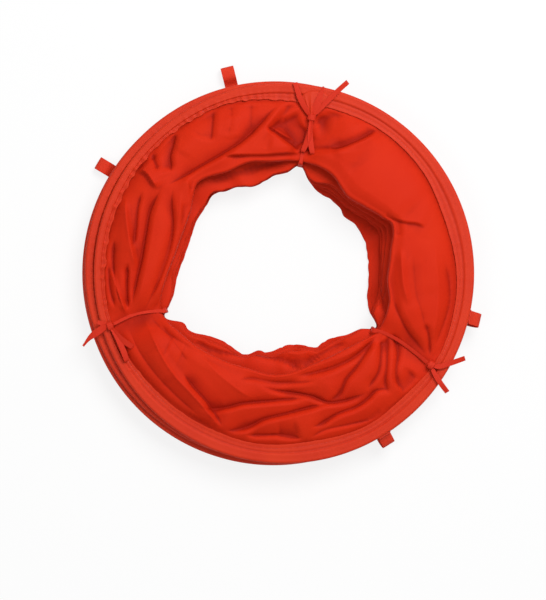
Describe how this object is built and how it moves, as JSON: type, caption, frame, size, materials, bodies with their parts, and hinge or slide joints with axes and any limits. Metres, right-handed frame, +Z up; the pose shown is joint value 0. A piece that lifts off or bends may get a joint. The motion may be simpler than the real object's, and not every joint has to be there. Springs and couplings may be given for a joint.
{
  "type": "dog agility tunnel",
  "caption": "Dog agility tunnel packed flat: spring-wire hoops in sewn casings joined by in-folded cloth spans, held by tape ties with bows, with webbing loops for ground pegs.",
  "frame": {"origin": "middle of the packed bundle's outline, on the floor that it lies on", "axes": "+Z up along the tunnel's axis, from the bottom hoop to the top hoop; +Y points to the top of the picture and +X to its right"},
  "size_m": [0.6272, 0.6392, 0.0829],
  "materials": {
    "spring_wire": "drawn spring steel, satin",
    "ferrule": "zinc plated, crimped",
    "casing_tape": "red polyester binding tape, puckered by its stitching",
    "span_cloth": "thin red nylon, soft sheen, creased",
    "webbing": "red woven webbing",
    "tie_tape": "narrow red woven tape"
  },
  "bodies": {
    "hoop_1": {"hoop_1_wire": "spring_wire", "hoop_1_ferrule": "ferrule", "hoop_1_casing": "casing_tape", "span_1_fabric": "span_cloth", "tie_top_back_tape": "tie_tape", "tie_left_back_tape": "tie_tape", "tie_right_back_tape": "tie_tape"},
    "hoop_2": {"hoop_2_wire": "spring_wire", "hoop_2_ferrule": "ferrule", "hoop_2_casing": "casing_tape", "span_2_fabric": "span_cloth"},
    "hoop_3": {"hoop_3_wire": "spring_wire", "hoop_3_ferrule": "ferrule", "hoop_3_casing": "casing_tape", "span_3_fabric": "span_cloth"},
    "hoop_4": {"hoop_4_wire": "spring_wire", "hoop_4_ferrule": "ferrule", "hoop_4_casing": "casing_tape", "span_4_fabric": "span_cloth"},
    "hoop_5": {"hoop_5_wire": "spring_wire", "hoop_5_ferrule": "ferrule", "hoop_5_casing": "casing_tape", "span_5_fabric": "span_cloth"},
    "hoop_6": {"hoop_6_wire": "spring_wire", "hoop_6_ferrule": "ferrule", "hoop_6_casing": "casing_tape", "span_6_fabric": "span_cloth"},
    "hoop_7": {"hoop_7_wire": "spring_wire", "hoop_7_ferrule": "ferrule", "hoop_7_casing": "casing_tape", "tie_top_front_tape": "tie_tape", "tie_left_front_tape": "tie_tape", "tie_right_front_tape": "tie_tape", "tie_top_bow": "tie_tape", "tie_left_bow": "tie_tape", "tie_right_bow": "tie_tape"},
    "peg_loop_front_right": {"peg_loop_front_right": "webbing"},
    "peg_loop_front_lower": {"peg_loop_front_lower": "webbing"},
    "peg_loop_back_top": {"peg_loop_back_top": "webbing"},
    "peg_loop_back_left": {"peg_loop_back_left": "webbing"}
  },
  "joints": [
    {"name": "span_1_opens", "type": "slide", "parent": "hoop_1", "child": "hoop_2", "axis": [0, 0, 1], "range_m": [0, 0.3225], "deforming": ["span_1_fabric"]},
    {"name": "span_2_opens", "type": "slide", "parent": "hoop_2", "child": "hoop_3", "axis": [0, 0, 1], "range_m": [0, 0.3225], "deforming": ["span_2_fabric"]},
    {"name": "span_3_opens", "type": "slide", "parent": "hoop_3", "child": "hoop_4", "axis": [0, 0, 1], "range_m": [0, 0.3225], "deforming": ["span_3_fabric"]},
    {"name": "span_4_opens", "type": "slide", "parent": "hoop_4", "child": "hoop_5", "axis": [0, 0, 1], "range_m": [0, 0.3225], "deforming": ["span_4_fabric"]},
    {"name": "span_5_opens", "type": "slide", "parent": "hoop_5", "child": "hoop_6", "axis": [0, 0, 1], "range_m": [0, 0.3225], "deforming": ["span_5_fabric"]},
    {"name": "span_6_opens", "type": "slide", "parent": "hoop_6", "child": "hoop_7", "axis": [0, 0, 1], "range_m": [0, 0.3225], "deforming": ["span_6_fabric"]},
    {"name": "peg_loop_front_right_swings", "type": "hinge", "parent": "hoop_7", "child": "peg_loop_front_right", "pos_m": [0.29689, -0.08216, 0.06227], "axis": [-0.225, -0.9744, 0], "range_deg": [0, 120]},
    {"name": "peg_loop_front_lower_swings", "type": "hinge", "parent": "hoop_7", "child": "peg_loop_front_lower", "pos_m": [0.16419, -0.26819, 0.06227], "axis": [-0.848, -0.5299, 0], "range_deg": [0, 120]},
    {"name": "peg_loop_back_top_swings", "type": "hinge", "parent": "hoop_1", "child": "peg_loop_back_top", "pos_m": [-0.07624, 0.27969, 0.00243], "axis": [-0.9703, -0.2419, 0], "range_deg": [0, 120]},
    {"name": "peg_loop_back_left_swings", "type": "hinge", "parent": "hoop_1", "child": "peg_loop_back_left", "pos_m": [-0.25993, 0.14377, 0.00243], "axis": [-0.515, -0.8572, 0], "range_deg": [0, 120]}
  ]
}
